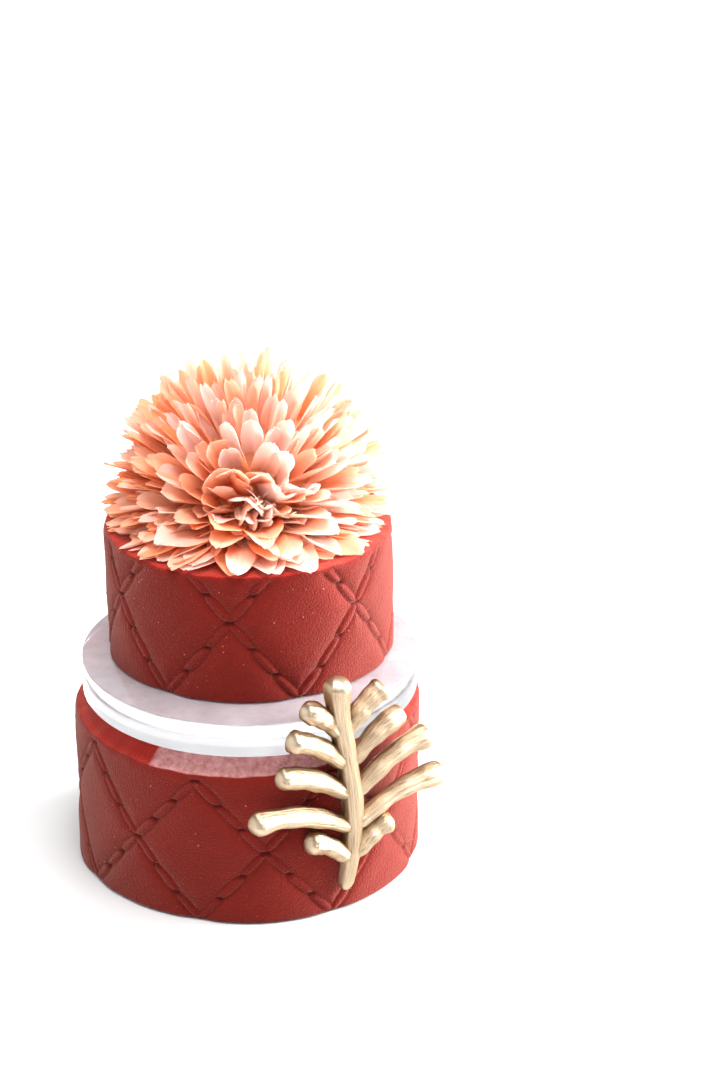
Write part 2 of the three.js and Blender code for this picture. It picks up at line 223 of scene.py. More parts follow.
def tier_rings(tier, rim_height, top_profile):
    """Rings of a tier from its foot over the rim to its middle, with their painted shade and share of top."""
    turn = TURN * np.arange(tier["columns"]) / tier["columns"]
    azimuth = pattern_azimuth(tier, turn)
    rim = rim_height(azimuth)
    for size, count, start in RIM_WAVES:
        rim = rim + size * np.sin(count * azimuth + start)
    floor, round_in = tier["floor"], tier["round_in"]
    lip = rim - round_in
    rings, painted_shade, slope = [], [], []

    def add(radius, z, shade, top=0):
        x = tier["centre"][0] + radius * np.sin(azimuth)
        y = tier["centre"][1] - radius * np.cos(azimuth)
        rings.append(np.stack([x, y, np.broadcast_to(z, azimuth.shape)], axis=-1))
        painted_shade.append(np.broadcast_to(shade, azimuth.shape))
        slope.append(np.broadcast_to(top, azimuth.shape))

    foot = tier["radius"] + wobble(tier, azimuth, floor)
    add(foot - FOOT["inset"], floor, 0)
    # painted shade along the bottom edge, where the tier meets the floor
    add(foot - FOOT["round_in"], floor, FOOT["painted_shade_strength"])
    for row in range(tier["rows"] + 1):
        share = row / tier["rows"]
        z = floor + FOOT["rise"] + (lip - floor - FOOT["rise"]) * share
        relief, shade = quilt(tier, turn, z - floor)
        fade = np.clip((lip - z) / RIM_FADE, 0, 1)
        kept = RIM_RELIEF + (1 - RIM_RELIEF) * fade
        add(tier["radius"] + wobble(tier, azimuth, z) + relief * kept, z, shade * fade)
    edge = tier["radius"] + wobble(tier, azimuth, lip)
    for step, top in RIM_STEPS:
        bend = step * QUARTER
        add(edge - round_in * (1 - math.cos(bend)), lip + round_in * math.sin(bend), 0, top)
    for radius, z in top_profile(azimuth, edge - round_in, rim):
        add(radius, z, 0, 1)
    return azimuth, np.array(rings), np.array(painted_shade), np.array(slope)


def light_through_disc(tier, azimuth, slope):
    """Where the tier's top is painted pale: painted light that comes through the clear disc."""
    if tier["lit_through_disc"] is None:
        return 0 * slope
    start, end = tier["lit_through_disc"]
    swept = np.mod(np.degrees(azimuth) + 180, 360) - 180
    return slope * np.clip((swept - start) / THROUGH_DISC_EDGE, 0, 1) * np.clip((end - swept) / THROUGH_DISC_EDGE, 0, 1)


def tier_piece(tier, rim_height, top_profile, material, cad_node):
    """One quilted tier; its attributes tell the covering's material where shade is painted in the stitches
    and at the foot, where it is level and painted brighter, and where the painted light through the disc
    lies.
    """
    azimuth, rings, painted_shade, slope = tier_rings(tier, rim_height, top_profile)
    points, faces = closed_loft(rings)
    lit_through_disc = light_through_disc(tier, azimuth, slope)
    attributes = {
        "painted_shade": np.append(painted_shade, [0, 0]),
        "slope": np.append(slope, [0, 1]),
        "lit_through_disc": np.append(lit_through_disc, [0, 0]),
    }
    mesh_piece(f"{cad_node}_quilted", points, faces, [material], cad_node, attributes)


def lower_rim(azimuth):
    """Height of the lower tier's rim, which stands higher at the right."""
    return LOWER_TOP["rim"] + LOWER_TOP["raised_right"] * np.maximum(0, np.sin(azimuth)) ** 1.5


def lower_top(azimuth, edge, rim):
    """The top rises from the rim to the flat bearing under the disc."""
    flat, height = LOWER_TOP["flat_radius"], LOWER_TOP["height"]
    for share in np.linspace(0.06, 1, TOP_RINGS):
        dimple = LOWER_TOP["dimple"] * np.sin(9 * azimuth + 7 * share) * np.sin(np.pi * share)
        yield edge + (flat - edge) * share, rim + (height - rim) * np.sin(QUARTER * share) + dimple
    for radius in LOWER_TOP["inner_radii"]:
        yield np.full(azimuth.shape, radius), height


def upper_rim(azimuth):
    return np.full(azimuth.shape, UPPER_TOP["height"])


def upper_top(azimuth, edge, rim):
    """A nearly flat top that sinks a little under its rim."""
    for share in np.linspace(0.04, 0.9, TOP_RINGS):
        dimple = UPPER_TOP["dimple"] * np.sin(5 * azimuth + 6 * share) * share
        yield edge * (1 - share), UPPER_TOP["height"] - UPPER_TOP["sunk"] + dimple


# ---- specks on the tiers ----

SPECK = dict(least=0.13, larger=0.3, uneven=(0.7, 1.2), depth=0.7, raised=0.3)
NEIGHBOURS = 1.2  # corners nearer than this on the unit sphere share an edge


def icosahedron():
    """Corners on the unit sphere and outward triangles of a twenty-sided lump."""
    golden = (1 + math.sqrt(5)) / 2
    corners = np.array([(0, a, b * golden) for a in (-1, 1) for b in (-1, 1)], float)
    corners = np.concatenate([np.roll(corners, k, axis=1) for k in range(3)]) / math.hypot(1, golden)
    triangles = []
    for trio in itertools.combinations(range(len(corners)), 3):
        a, b, c = corners[list(trio)]
        if max(np.linalg.norm(a - b), np.linalg.norm(b - c), np.linalg.norm(c - a)) < NEIGHBOURS:
            triangles.append(trio if np.cross(b - a, c - a) @ a > 0 else trio[::-1])
    return corners, triangles


def speck_piece(tier, specks, material, cad_node):
    """Fine loose specks of the sprayed covering stuck on a tier's side."""
    draws = np.random.default_rng(specks["count"])
    corners, triangles = icosahedron()
    points, faces = [], []
    for number in range(specks["count"]):
        turn = draws.uniform(0, TURN)
        z = specks["low"] + (specks["high"] - specks["low"]) * draws.uniform() ** 0.8
        azimuth = float(pattern_azimuth(tier, turn))
        relief, _ = quilt(tier, np.array(turn), np.array(z - tier["floor"]))
        radius = tier["radius"] + wobble(tier, azimuth, z) + float(relief)
        size = SPECK["least"] + SPECK["larger"] * draws.uniform() ** 3
        lump = corners * size * draws.uniform(*SPECK["uneven"], (len(corners), 1))
        side, out = outward(azimuth)
        middle = np.array([*tier["centre"], z]) + out * (radius + SPECK["raised"] * size)
        points.append(middle + lump[:, :1] * side + SPECK["depth"] * lump[:, 1:2] * out + lump[:, 2:] * UP)
        faces += [[corner + len(corners) * number for corner in triangle] for triangle in triangles]
    mesh_piece(f"{cad_node}_crumbs", np.concatenate(points), faces, [material], cad_node)


# ---- materials ----

def new_material(name):
    material = bpy.data.materials.new(name)
    material.use_nodes = True
    tree = material.node_tree
    tree.nodes.clear()
    out = tree.nodes.new("ShaderNodeOutputMaterial")
    shader = tree.nodes.new("ShaderNodeBsdfPrincipled")
    tree.links.new(shader.outputs[0], out.inputs["Surface"])
    return material, tree, shader


def feed(tree, socket, value):
    """Links a socket to another one, or sets its value; a colour of three numbers is opaque."""
    if isinstance(value, bpy.types.NodeSocket):
        tree.links.new(value, socket)
    else:
        socket.default_value = (*value, 1) if isinstance(value, tuple) else value


def node(tree, kind, settings=None, **inputs):
    """Adds a node, sets its properties, and links or sets each named input."""
    made = tree.nodes.new("ShaderNode" + kind)
    for key, value in (settings or {}).items():
        setattr(made, key, value)
    for key, value in inputs.items():
        feed(tree, made.inputs[key], value)
    return made


def place(tree):
    return node(tree, "TexCoord").outputs["Object"]


def noise(tree, vector, scale, detail=3.0, roughness=0.5):
    return node(tree, "TexNoise", Vector=vector, Scale=scale, Detail=detail, Roughness=roughness).outputs[0]


def ramp(tree, value, stops):
    made = node(tree, "ValToRGB", Fac=value)
    elements = made.color_ramp.elements
    while len(elements) < len(stops):
        elements.new(0.5)
    for element, (at, colour) in zip(elements, stops):
        element.position = at
        element.color = (*colour, 1)
    return made.outputs["Color"]


def mix(tree, factor, a, b):
    made = node(tree, "Mix", {"data_type": "RGBA"})
    for socket, value in ((made.inputs[0], factor), (made.inputs[6], a), (made.inputs[7], b)):
        feed(tree, socket, value)
    return made.outputs[2]


def maths(tree, operation, *values):
    made = node(tree, "Math", {"operation": operation})
    for socket, value in zip(made.inputs, values):
        feed(tree, socket, value)
    return made.outputs[0]


def times(tree, a, b):
    return maths(tree, "MULTIPLY", a, b)


def bump(tree, height, strength, distance, normal=None):
    made = node(tree, "Bump", Height=height, Strength=strength, Distance=distance)
    if normal is not None:
        tree.links.new(normal, made.inputs["Normal"])
    return made.outputs[0]


def attribute(tree, name):
    return node(tree, "Attribute", {"attribute_name": name}).outputs["Fac"]


def grey(value):
    return (value, value, value)


def red_icing():
    """Matte covering with a fine sprayed grain; painted shade in the stitched lines and along the foot's
    edge, the level top painted a brighter red as if lit from above, and a pale patch of painted light where
    light comes through the disc.
    """
    material, tree, shader = new_material("red_icing")
    at = place(tree)
    cloud = noise(tree, at, 28, 4, 0.55)
    grain = noise(tree, at, 1400, 3, 0.6)
    lit_mottle = noise(tree, at, 420, 4, 0.7)
    colour = ramp(tree, cloud, [(0.3, (0.112, 0.004, 0.0018)), (0.7, (0.148, 0.0055, 0.0028))])
    colour = mix(tree, times(tree, grain, 0.35), colour, (0.27, 0.018, 0.010))
    # painted light: the level top and the upper part of the rim are painted a brighter red, as if lit from
    # above
    colour = mix(tree, times(tree, attribute(tree, "slope"), 0.7), colour, (0.42, 0.018, 0.010))
    # painted light: a pale mottled patch where light comes through the clear disc onto the lower tier's top
    pale = ramp(tree, lit_mottle, [(0.35, (0.44, 0.17, 0.16)), (0.65, (0.70, 0.38, 0.37))])
    colour = mix(tree, times(tree, attribute(tree, "lit_through_disc"), 0.9), colour, pale)
    # painted shade: the colour is darkened in the stitch grooves and pits and along the foot's edge
    colour = mix(tree, times(tree, attribute(tree, "painted_shade"), 0.8), colour, (0.06, 0.003, 0.002))
    tree.links.new(colour, shader.inputs["Base Color"])
    shader.inputs["Roughness"].default_value = 0.7
    shader.inputs["Specular IOR Level"].default_value = 0.1
    shader.inputs["Sheen Weight"].default_value = 0.36
    shader.inputs["Sheen Roughness"].default_value = 0.4
    shader.inputs["Sheen Tint"].default_value = (1.0, 0.56, 0.46, 1)
    normal = bump(tree, noise(tree, at, 240, 3), 0.15, 0.0005)
    normal = bump(tree, grain, 1.0, 0.0007, normal)
    tree.links.new(normal, shader.inputs["Normal"])
    return material


def speck_material():
    """Specks a little paler than the covering."""
    material, tree, shader = new_material("crumbs")
    cloud = noise(tree, place(tree), 150, 3)
    colour = ramp(tree, cloud, [(0.35, (0.28, 0.02, 0.015)), (0.65, (0.46, 0.12, 0.09))])
    tree.links.new(colour, shader.inputs["Base Color"])
    shader.inputs["Roughness"].default_value = 0.8
    return material


# ---- clear disc ----

BEVEL_ANGLE = 0.8  # radians: the middle point of the rounded edge
PAINTED_REFLECTION_DEPTH = 0.9  # share of the bevel below the top that still counts as the upper face with the painted reflection
FLAT = 0.99  # least upward or downward facing of a flat face
DISC_CREASE = math.radians(30)
PLASTIC_IOR = 1.49


def disc_profile():
    """Radius and height of each ring, from under the disc round its edge to its top."""
    radius, bevel, inner = DISC["radius"], DISC["bevel"], DISC["inner"]
    low, high = DISC["bottom"], DISC["top"]
    profile = [(inner, low), (radius - bevel, low)]
    for angle in (BEVEL_ANGLE, QUARTER):
        profile.append((radius - bevel * (1 - math.sin(angle)), low + bevel * (1 - math.cos(angle))))
    for angle in (0, BEVEL_ANGLE):
        profile.append((radius - bevel * (1 - math.cos(angle)), high - bevel * (1 - math.sin(angle))))
    return profile + [(radius - bevel, high), (inner, high)]


def disc_piece(clear, painted_reflection):
    """The clear disc: flat faces kept flat, the side smooth, the upper face in its own material with a
    painted reflection.
    """
    azimuth = TURN * np.arange(DISC["sides"]) / DISC["sides"]
    rings = []
    for radius, z in disc_profile():
        x = DISC["centre"][0] + radius * np.sin(azimuth)
        y = DISC["centre"][1] - radius * np.cos(azimuth)
        rings.append(np.stack([x, y, np.full(azimuth.shape, z)], axis=-1))
    points, faces = closed_loft(np.array(rings))
    piece = mesh_piece("separator_disc_clear", points, faces, [clear, painted_reflection], "separator_disc")
    painted_reflection_from = (DISC["top"] - PAINTED_REFLECTION_DEPTH * DISC["bevel"]) * MM
    for polygon in piece.data.polygons:
        polygon.use_smooth = abs(polygon.normal.z) <= FLAT
        polygon.material_index = 1 if polygon.center.z > painted_reflection_from else 0
    piece.data.set_sharp_from_angle(angle=DISC_CREASE)


def clear_plastic():
    """Clear plastic, slightly matt from handling."""
    material, tree, shader = new_material("clear_plastic")
    haze = noise(tree, place(tree), 60, 4)
    colour = ramp(tree, haze, [(0.3, (0.97, 0.97, 0.99)), (0.7, (1.0, 1.0, 1.0))])
    tree.links.new(colour, shader.inputs["Base Color"])
    shader.inputs["Transmission Weight"].default_value = 1
    shader.inputs["IOR"].default_value = PLASTIC_IOR
    tree.links.new(ramp(tree, haze, [(0.35, grey(0.07)), (0.75, grey(0.10))]), shader.inputs["Roughness"])
    return material


def painted_reflection_top():
    """The disc's upper face, partly matt and painted pale lavender: a painted reflection of the bright
    surroundings, so that it shows pale over the red below.
    """
    material, tree, shader = new_material("painted_reflection_top")
    cloud = noise(tree, place(tree), 90, 5, 0.6)
    # painted reflection: the matte share's pale lavender stands in for the clear top's reflection of the
    # bright surroundings over the red below
    colour = ramp(tree, cloud, [(0.3, (0.50, 0.42, 0.45)), (0.7, (0.66, 0.58, 0.61))])
    tree.links.new(colour, shader.inputs["Base Color"])
    shader.inputs["Transmission Weight"].default_value = 0.55
    shader.inputs["IOR"].default_value = PLASTIC_IOR
    shader.inputs["Specular IOR Level"].default_value = 1.0
    tree.links.new(ramp(tree, cloud, [(0.35, grey(0.05)), (0.75, grey(0.14))]), shader.inputs["Roughness"])
    return material


# ---- gold sprig ----

# back: distance of the sprig's back from the cake's axis
# bow, bends, shift: how far its stem curves, in how many half waves, and how far it stands aside
SPRIG = dict(
    azimuth=math.radians(30), back=67.3, width=7.6, depth=5.6, low=9.0, high=99.0,
    bow=3.5, bends=1.5, shift=1.0,
)
LEAVES = [
    (22, 34, 23, 22),
    (35, 17, 46, 42),
    (48, 27, 36, 38),
    (61, 34, 31, 29),
    (74, 42, 23, 24),
]  # height of the root, rise in degrees, length to the left and to the right
LEAF_ARCH = 0.09  # height of a leaf's bow over its length
STEM_FULLNESS = 1.25
LEAF_FULLNESS = 1.2
STROKE_SEED = 40
# least, root: size of a stroke's very end and of its root; bead: its thicker tip; back: its underside's depth
STROKE = dict(
    stations=72, sides=40, least=0.04, root=0.82, bead=0.06, bead_length=6.0, back=0.12, proud=0.05,
)
SWELLS = [(0.06, 9), (0.04, 23)]  # size and waves along a stroke
RIDGES = dict(waves=(7, 11, 15, 21), lowest=0.012, highest=0.03)
NEARBY = 0.004  # share of a stroke over which its direction is measured
STREAK_LENGTH = 6.0  # texture units from one end of a stroke to the other
STREAK_SHIFT = 37  # texture units between one stroke and the next


def stem_at(t):
    """Place on the stem's bowed middle line, t from its foot to its tip."""
    height = SPRIG["low"] + (SPRIG["high"] - SPRIG["low"]) * t
    return np.array([SPRIG["bow"] * np.sin(np.pi * t * SPRIG["bends"]) + SPRIG["shift"], height])


def leaf_path(root, rise, length, side):
    """The bowed middle line of a leaf that leaves the stem at the height root."""
    start = stem_at(np.array((root - SPRIG["low"]) / (SPRIG["high"] - SPRIG["low"])))
    lean = math.radians(rise)

    def path(t):
        return np.array([
            start[0] + side * length * t * math.cos(lean),
            start[1] + length * t * math.sin(lean) + LEAF_ARCH * length * np.sin(np.pi * t),
        ])
    return path


def stroke_sizes(t, length, fullness, draws):
    """Thickness along a stroke as a share, and how near each station is to an end."""
    body = np.clip(np.minimum(t, 1 - t) * length / (SPRIG["width"] / 2 * fullness), 0, 1)
    ends = np.maximum(STROKE["least"], np.sqrt(1 - (1 - body) ** 2))
    swell = 1 + sum(size * np.sin(count * t + draws.uniform(0, TURN)) for size, count in SWELLS)
    swell += STROKE["bead"] * np.exp(-(((1 - t) * length / STROKE["bead_length"]) ** 2))
    return ends * (STROKE["root"] + (fullness - STROKE["root"]) * t) * swell, body


def stroke(path, fullness, seed):
    """A piped stroke in the sprig's own frame: across, up, outwards; brushed along its length."""
    draws = np.random.default_rng(seed)
    t = 0.5 - 0.5 * np.cos(np.pi * np.arange(STROKE["stations"] + 1) / STROKE["stations"])
    centre = path(t)
    ahead = path(t + NEARBY) - path(t - NEARBY)
    slope = np.arctan2(ahead[1], ahead[0])[:, None]
    length = np.linalg.norm(np.diff(centre, axis=1), axis=0).sum()
    size, body = stroke_sizes(t, length, fullness, draws)
    turn = TURN * np.arange(STROKE["sides"]) / STROKE["sides"]
    out = np.where(np.sin(turn) > 0, np.sin(turn), STROKE["back"] * np.sin(turn))
    heights = draws.uniform(RIDGES["lowest"], RIDGES["highest"], len(RIDGES["waves"]))
    starts = draws.uniform(0, TURN, len(RIDGES["waves"]))
    ridge = sum(h * np.sin(k * turn + s) for h, k, s in zip(heights, RIDGES["waves"], starts))
    shape = 1 + ridge * (turn < math.pi)
    aside = (SPRIG["width"] / 2) * size[:, None] * (np.cos(turn) * shape)[None]
    outwards = SPRIG["depth"] * size[:, None] * (out * shape)[None] + STROKE["proud"]
    across = centre[0][:, None] - aside * np.sin(slope)
    up = centre[1][:, None] + aside * np.cos(slope)
    return np.stack([across, up, outwards], axis=-1), t, turn, body


def sprig_strokes():
    """Path and fullness of the stem and of each leaf."""
    strokes = [(stem_at, STEM_FULLNESS)]
    for root, rise, left, right in LEAVES:
        strokes.append((leaf_path(root, rise, left, -1), LEAF_FULLNESS))
        strokes.append((leaf_path(root, rise, right, 1), LEAF_FULLNESS))
    return strokes


def sprig_piece(material):
    """All strokes as one mesh against the lower tier's side."""
    points, faces, along, around, body = [], [], [], [], []
    offset = 0
    for number, (path, fullness) in enumerate(sprig_strokes()):
        rings, t, turn, within = stroke(path, fullness, STROKE_SEED + number)
        own, own_faces = closed_loft(rings)
        points.append(own)
        faces += [[i + offset for i in face] for face in own_faces]
        offset += len(own)
        along += [np.repeat(t * STREAK_LENGTH + number * STREAK_SHIFT, len(turn)), [0, 0]]
        around += [np.tile(turn, len(t)), [QUARTER, QUARTER]]
        body += [np.repeat(within**2, len(turn)), [0, 0]]
    local = np.concatenate(points)
    side, out = outward(SPRIG["azimuth"])
    world = local[:, :1] * side + local[:, 1:2] * UP + (local[:, 2:] + SPRIG["back"]) * out
    attributes = {
        "along": np.concatenate(along),
        "around": np.concatenate(around),
        "body": np.concatenate(body),
    }
    mesh_piece("gold_sprig_piped", world, faces, [material], "gold_sprig", attributes)


def gold():
    """Gold paint brushed along the strokes, worn thin, with painted shade in the creases along each stroke's
    sides and underside.
    """
    material, tree, shader = new_material("gold_icing")
    around, body = attribute(tree, "around"), attribute(tree, "body")
    brushed = node(tree, "CombineXYZ", X=attribute(tree, "along"), Y=times(tree, around, 6.0)).outputs[0]
    patch = noise(tree, place(tree), 130, 4, 0.6)
    plain = maths(tree, "ADD", times(tree, patch, 0.3), 0.4)
    plain_ends = times(tree, maths(tree, "SUBTRACT", 1.0, body), plain)
    streak = maths(tree, "ADD", times(tree, noise(tree, brushed, 1.1, 5, 0.65), body), plain_ends)
    colour = ramp(tree, streak, [
        (0.33, (0.25, 0.14, 0.062)),
        (0.43, (0.43, 0.32, 0.205)),
        (0.60, (0.58, 0.465, 0.335)),
    ])
    colour = mix(tree, times(tree, patch, 0.3), colour, (0.65, 0.53, 0.40))
    # painted shade: darker brown along each stroke's sides and underside, where it meets the cake and its
    # neighbours
    height = maths(tree, "MAXIMUM", maths(tree, "SINE", around), 0.0)
    crease = maths(tree, "POWER", maths(tree, "SUBTRACT", 1.0, height), 1.8)
    colour = mix(tree, times(tree, crease, 0.85), colour, (0.30, 0.16, 0.07))
    tree.links.new(colour, shader.inputs["Base Color"])
    shader.inputs["Metallic"].default_value = 1.0
    shader.inputs["Specular Tint"].default_value = (0.80, 0.58, 0.36, 1)
    tree.links.new(ramp(tree, streak, [(0.2, grey(0.44)), (0.8, grey(0.31))]), shader.inputs["Roughness"])
    normal = bump(tree, streak, 0.7, 0.0009)
    tree.links.new(bump(tree, patch, 0.25, 0.0004, normal), shader.inputs["Normal"])
    return material


# ---- blossom ----

ROOT = np.array([2.0, -3.0, 142.0])
LAYER_ROOT = ROOT - 4.0 * UP
ENVELOPE = np.array([51.0, 55.0, 52.0])  # half sizes of the ellipsoid that a petal of reach 1 just touches
ENVELOPE_CENTRE = np.array([1.5, 1.5, 145.0])
TILT = math.radians(4)  # of the blossom's axis above level
LOWEST_TIP = 135.0  # just over the upper tier's top
CORE = dict(centre=(2, 6, 146), radii=(31, 26, 33), floor=134.2, rises=(-1.2, 1.5), rings=26, sides=48)
CORE_LUMPS = dict(size=0.03, count=6, twist=5)
CORE_COLOUR = dict(along=0.3, across=0.5, tone=0.4)
PALENESS = dict(heart=0.0, crown=0.08, fan=-0.15, back=-0.18)  # added to a petal's tone
HEART_COVER = 0.2  # how far the heart's upper petals bend down over its middle
FULLY_OPEN = 80  # degrees of opening from which a petal stands straight
STRIPS_OPEN = 70  # degrees of opening from which the upper petals are strips
# how far a petal's measures are spread by its random draws, here and in the layers
WHORL_UNEVEN = dict(turn=0.9, opening=13, pointed=0.6, bend=0.1)
LAYER_UNEVEN = dict(turn=0.8, rise=8, roll=0.7, pointed=0.6, bend=0.1)
# kind, count, opening in degrees, share of the turn, reach, width
WHORLS = [
    ("heart", 6, 5, 1.0, 0.56, 8.0),
    ("heart", 9, 13, 1.0, 0.58, 10.5),
    ("heart", 11, 24, 1.0, 0.60, 12.5),
    ("heart", 13, 34, 1.0, 0.63, 13.5),
    ("crown", 14, 45, 0.94, 0.67, 14.0),
    ("crown", 16, 54, 0.86, 0.73, 12.5),
    ("crown", 22, 62, 0.78, 0.80, 10.0),
    ("crown", 34, 70, 0.73, 0.86, 7.4),
    ("crown", 50, 78, 0.70, 0.94, 5.8),
    ("fan", 60, 86, 0.67, 0.99, 5.3),
    ("fan", 60, 94, 0.64, 1.01, 5.3),
    ("fan", 50, 102, 0.62, 1.01, 5.6),
    ("back", 34, 111, 0.60, 0.98, 7.5),
    ("back", 28, 121, 0.60, 0.94, 8.5),
    ("back", 26, 131, 0.62, 0.90, 9.5),
    ("back", 22, 141, 0.64, 0.87, 11.0),
    ("back", 17, 151, 0.70, 0.85, 12.5),
    ("back", 12, 161, 0.80, 0.84, 13.0),
    ("back", 7, 171, 1.0, 0.83, 13.0),
]
# count, rise in degrees, reach, width
LAYERS = [
    (13, 24, 0.68, 13.0),
    (15, 17, 0.79, 14.5),
    (17, 9, 0.88, 15.0),
    (20, 2, 0.96, 15.0),
    (22, -4, 1.0, 15.0),
    (22, -9, 1.02, 15.0),
]


def unit(vector):
    return vector / np.linalg.norm(vector)


def reach_along(start, direction):
    """Distance from a petal's start to the blossom's envelope."""
    origin = (start - ENVELOPE_CENTRE) / ENVELOPE
    ray = direction / ENVELOPE
    a, b, c = ray @ ray, origin @ ray, origin @ origin - 1
    return (math.sqrt(b * b - a * c) - b) / a


def turned(vector, axis, angle):
    """vector turned about a unit axis."""
    return (
        vector * math.cos(angle)
        + np.cross(axis, vector) * math.sin(angle)
        + axis * (axis @ vector) * (1 - math.cos(angle))
    )


def whorl_direction(turn, opened):
    """Direction at an angle round the blossom's axis, opened away from it."""
    ahead, away = math.cos(opened), math.sin(opened)
    side, back = math.sin(turn), math.cos(turn)
    return np.array([
        away * side,
        away * back * math.sin(TILT) - ahead * math.cos(TILT),
        away * back * math.cos(TILT) + ahead * math.sin(TILT),
    ])


def whorl_petals():
    """Petals in rings round the blossom's axis, from heart to back; strips at the top and the sides."""
    for row, (kind, count, opening, span, reach, width) in enumerate(WHORLS):
        straight = min(1.0, opening / FULLY_OPEN)
        for number in range(count):
            draws = rng.uniform(-0.5, 0.5, 5)
            step = number + 0.5 * (row % 2) + 0.25 + WHORL_UNEVEN["turn"] * draws[0]
            turn = TURN * span * (step / count - 0.5)
            side, back = math.sin(turn), math.cos(turn)
            above = max(0.0, back)
            upright = above * straight
            opened = math.radians(opening + WHORL_UNEVEN["opening"] * draws[1])
            cover = HEART_COVER * back if kind == "heart" else 0.0
            yield dict(
                kind=kind,
                start=ROOT,
                direction=whorl_direction(turn, opened),
                face=TILT + (QUARTER - TILT) * side * side,
                roll=draws[2] * (0.7 + 1.1 * upright + 0.5 * abs(side)),
                reach=reach * (1 + 0.02 * above**3),
                width=width * (1 - 0.15 * upright),
                strip=min(1.0, (1.5 * above + 0.6 * abs(side)) * min(1.0, opening / STRIPS_OPEN)),
                pointed=0.3 + WHORL_UNEVEN["pointed"] * draws[3] + 0.5 * max(0.0, -side),
                bend=0.14 - 0.16 * straight + WHORL_UNEVEN["bend"] * draws[4] + cover,
                cup=0.5,
                twist=1.0,
                # painted shade and light: the side term gives petals on the left a deeper orange tone, as if
                # in shade, and those on the right a slightly paler one, as if lit
                tone=(0.05 if side > 0 else 0.5) * side + PALENESS[kind],
            )


def layer_petals():
    """Broad petals in nearly level layers that rest on the tier's top."""
    for row, (count, rise, reach, width) in enumerate(LAYERS):
        for number in range(count):
            draws = rng.uniform(-0.5, 0.5, 5)
            turn = TURN * (number + 0.5 * (row % 2) + LAYER_UNEVEN["turn"] * draws[0]) / count
            lift = math.radians(rise + LAYER_UNEVEN["rise"] * draws[1])
            side = math.sin(turn)
            level = math.cos(lift)
            yield dict(
                kind="skirt",
                start=LAYER_ROOT,
                direction=np.array([side * level, -math.cos(turn) * level, math.sin(lift)]),
                face=QUARTER,
                roll=LAYER_UNEVEN["roll"] * draws[2],
                reach=reach,
                width=width,
                strip=0.0,
                pointed=0.25 + LAYER_UNEVEN["pointed"] * draws[3],
                bend=LAYER_UNEVEN["bend"] * draws[4] - 0.04,
                cup=0.22,
                twist=0.4,
                # painted shade and light: the side term gives petals on the left a deeper orange tone, as if
                # in shade, and those on the right a slightly paler one, as if lit
                tone=(0.1 if side > 0 else 0.5) * side,
            )


PETAL_STATIONS = 18
PETAL_ACROSS = 9
PETAL_START = 0.12  # share of the length that is left bare at the root
PETAL_LENGTH = dict(least=0.88, more=0.17)
PETAL_WIDTH = dict(least=0.75, more=0.45, narrowest=0.06)
PETAL_HALF_THICKNESS = dict(middle=0.26, thinner_edge=0.1, thinner_tip=0.4)
PETAL_WAVES = dict(slow=0.8, edge=0.5, sway=0.14)
PETAL_CREASE = math.radians(60)
LEAF = dict(root=0.3, widest=0.6, tip=0.405, fullness=0.42, pointed=0.4)
STRIP = dict(root=0.5, widest=0.8, end=0.84, tip=0.165, fullness=0.45)
CREASE = dict(depth=0.35, spread=0.2)
LIFT = dict(facing_up=0.2, most=0.3)  # least upward facing, and most added bend, of a petal held off the tier
TORN = dict(depth=0.022, start=0.8)


def outline(shape, t):
    """Half width of a petal along its length, as a share: an oval leaf or a strip with a blunt end."""
    widening = np.sin(QUARTER * np.minimum(1, t / LEAF["widest"]))
    tip = np.clip(1 - (np.maximum(0, t - LEAF["widest"]) / LEAF["tip"]) ** 2, 0, 1)
    pointed = float(np.clip(shape["pointed"], 0, 1))
    fullness = LEAF["fullness"] + LEAF["pointed"] * pointed
    leaf = (LEAF["root"] + (1 - LEAF["root"]) * widening) * tip**fullness
    widening = np.sin(QUARTER * np.minimum(1, t / STRIP["widest"]))
    blunt = np.clip(1 - (np.maximum(0, t - STRIP["end"]) / STRIP["tip"]) ** 4, 0, 1) ** STRIP["fullness"]
    strip = (STRIP["root"] + (1 - STRIP["root"]) * widening) * blunt
    return leaf * (1 - shape["strip"]) + strip * shape["strip"]


def petal_axes(shape):
    """A petal's direction, the way its inner face looks, and the way across it."""
    direction = unit(shape["direction"])
    inward = np.array([0, -math.cos(shape["face"]), math.sin(shape["face"])])
    inward = turned(unit(inward - (inward @ direction) * direction), direction, shape["roll"])
    return direction, inward, np.cross(direction, inward)


def petal_bend(shape, length, direction, inward):
    """The petal's bend, with more where its tip would sink into the tier's top."""
    bend = shape["bend"]
    if inward[2] > LIFT["facing_up"]:
        tip = shape["start"][2] + length * (direction[2] + bend * inward[2])
        bend += min(LIFT["most"], max(0.0, LOWEST_TIP - tip) / (length * inward[2]))
    return bend


def petal_relief(shape, draws, t, share, half):
    """Height of a petal's face over its middle: cupped, waved along and across, creased down the middle."""
    cup = half * shape["cup"] * (0.5 + draws[6]) * share**2 * (1.15 - 0.4 * t)
    slow_wave = PETAL_WAVES["slow"] * t * np.sin(7 * t + TURN * draws[7]) * share
    edge_wave = PETAL_WAVES["edge"] * t * np.sin(13 * t + TURN * draws[8]) * share**3
    crease = CREASE["depth"] * np.exp(-((share / CREASE["spread"]) ** 2)) * t
    return cup + slow_wave + edge_wave - crease


def petal_middle(shape, draws, t, share, length, axes):
    """The petal's middle surface before it is widened: bent, swaying sideways, its end torn unevenly."""
    direction, inward, sideways = axes
    bend = petal_bend(shape, length, direction, inward)
    sway = PETAL_WAVES["sway"] * (draws[9] - 0.5) * length * t**2
    ragged = np.sin(3.1 * share + 7 * draws[4]) * 0.5 + np.sin(8.3 * share + 9 * draws[10]) * 0.35
    torn = TORN["depth"] * length * ragged * np.clip((t - TORN["start"]) / (1 - TORN["start"]), 0, 1)
    return (
        shape["start"]
        + direction * (length * t + torn)[..., None]
        + inward * (length * bend * t**2)[..., None]
        + sideways * sway[..., None]
    )


